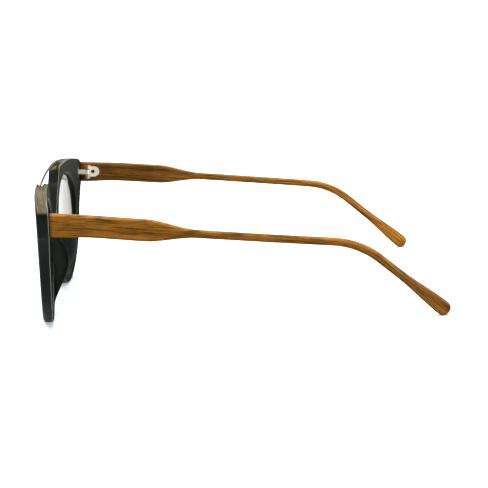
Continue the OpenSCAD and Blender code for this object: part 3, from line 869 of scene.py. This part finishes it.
def floorMaterial():  # white where it is seen, and darker in what it throws back on the part
    material, tree = newMaterial("paleFloor")
    rays = addNode(tree, "ShaderNodeLightPath").outputs
    seen = rays["Is Camera Ray"]
    for ray, share in floorLook["seenBy"].items():
        seen = addMath(tree, "MAXIMUM", seen, addMath(tree, "MULTIPLY", rays[ray], share))
    setShader(tree, {
        "Base Color": addMix(tree, "MIX", seen, (*floorLook["shade"], 1), (*floorLook["colour"], 1)),
        "Emission Strength": addMath(tree, "MULTIPLY", seen, floorLook["glow"]),
        "Emission Color": (*floorLook["glowColour"], 1),
        "Roughness": floorLook["roughness"], "Specular IOR Level": floorLook["specular"]})
    return material


def makeFloor():
    half = floorLook["half"]
    mesh = bpy.data.meshes.new("floor")
    corners = [(-half, -half, 0), (half, -half, 0), (half, half, 0), (-half, half, 0)]
    mesh.from_pydata(corners, [], [(0, 1, 2, 3)])
    mesh.materials.append(floorMaterial())
    newObject("floor", mesh)


skyLook = {
    "side": (-0.15, -0.1, 0.98), "fade": (0.15, 0.9), "strength": (0.05, 1.0), "tint": (1.0, 0.96, 0.86),
}


def makeWorld():  # light from above and behind, with a white backdrop where it is seen directly
    scene.world = bpy.data.worlds.new("paleRoom")
    scene.world.use_nodes = True
    tree = scene.world.node_tree
    place = addNode(tree, "ShaderNodeTexCoord").outputs["Generated"]
    facing = addVectorMath(tree, "DOT_PRODUCT", place, Vector(skyLook["side"]).normalized())["Value"]
    sky = tree.nodes["Background"]
    feed(tree, addRange(tree, facing, *skyLook["fade"], *skyLook["strength"]), sky.inputs["Strength"])
    feed(tree, (*skyLook["tint"], 1), sky.inputs["Color"])
    backdrop = addNode(tree, "ShaderNodeBackground", {"Color": (*white, 1)})
    rays = addNode(tree, "ShaderNodeLightPath").outputs
    seen = addMath(tree, "MAXIMUM", rays["Is Camera Ray"], rays["Is Transmission Ray"])
    pick = addNode(tree, "ShaderNodeMixShader", {0: seen, 1: sky.outputs[0], 2: backdrop.outputs[0]})
    feed(tree, pick.outputs[0], tree.nodes["World Output"].inputs["Surface"])


# The top light and the side softbox give no gloss, and the back softbox gives gloss alone
lampLook = {
    "topLight": {
        "angle": 60, "power": 6.0, "place": (-0.25, -0.2, 1.0), "aim": (0, 0, 0), "gloss": False},
    "sideSoftbox": {
        "size": 0.3, "power": 0.62, "place": (0.33, 0.05, 0.1), "aim": (0, 0, 0.02), "gloss": False},
    "backSoftbox": {
        "size": 0.25, "power": 5.0, "place": (0.2, 0.45, 0.12), "aim": (0, 0, 0.02), "gloss": True},
}


def addLamp(name, look):
    if "angle" in look:
        light = bpy.data.lights.new(name, "SUN")
        light.angle = math.radians(look["angle"])
    else:
        light = bpy.data.lights.new(name, "AREA")
        light.shape, light.size = "DISK", look["size"]
    light.energy = look["power"]
    lamp = newObject(name, light)
    lamp.location = look["place"]
    lamp.rotation_euler = (Vector(look["aim"]) - Vector(look["place"])).to_track_quat("-Z", "Y").to_euler()
    lamp.visible_camera = False
    lamp.visible_glossy, lamp.visible_diffuse = look["gloss"], not look["gloss"]


# The photograph's camera, in metres, millimetres of lens and degrees
cameraSet = {
    "height": 0.13038, "away": 0.61773, "along": 0.06066, "lens": 120.36, "sensor": 36.0,
    "range": (0.05, 50),
}
cameraTurn = {"yaw": -0.418, "down": 10.367, "roll": -4.055, "floorTurn": 0.56}


def makeCamera():
    yaw, down, roll, floorTurn = (math.radians(cameraTurn[k]) for k in ("yaw", "down", "roll", "floorTurn"))
    right = Vector((-math.sin(yaw), math.cos(yaw), 0))
    level = Vector((math.cos(yaw), math.sin(yaw), 0))
    up = Vector(zAxis)
    back = level * math.cos(down) + up * math.sin(down)
    above = up * math.cos(down) - level * math.sin(down)
    right, above = (
        right * math.cos(roll) + above * math.sin(roll), above * math.cos(roll) - right * math.sin(roll))
    turn = Matrix.Rotation(floorTurn, 3, "X") @ Matrix((right, above, back)).transposed()
    lens = bpy.data.cameras.new("photoCamera")
    lens.lens, lens.sensor_width = cameraSet["lens"], cameraSet["sensor"]
    lens.clip_start, lens.clip_end = cameraSet["range"]
    camera = newObject("photoCamera", lens)
    place = (cameraSet["away"], buttY + cameraSet["along"], cameraSet["height"])
    camera.matrix_world = Matrix.Translation(place) @ turn.to_4x4()
    scene.camera = camera


makeFloor()
makeWorld()
for name, look in lampLook.items():
    addLamp(name, look)
makeCamera()
scene.view_settings.view_transform = "Standard"
print("stage set")
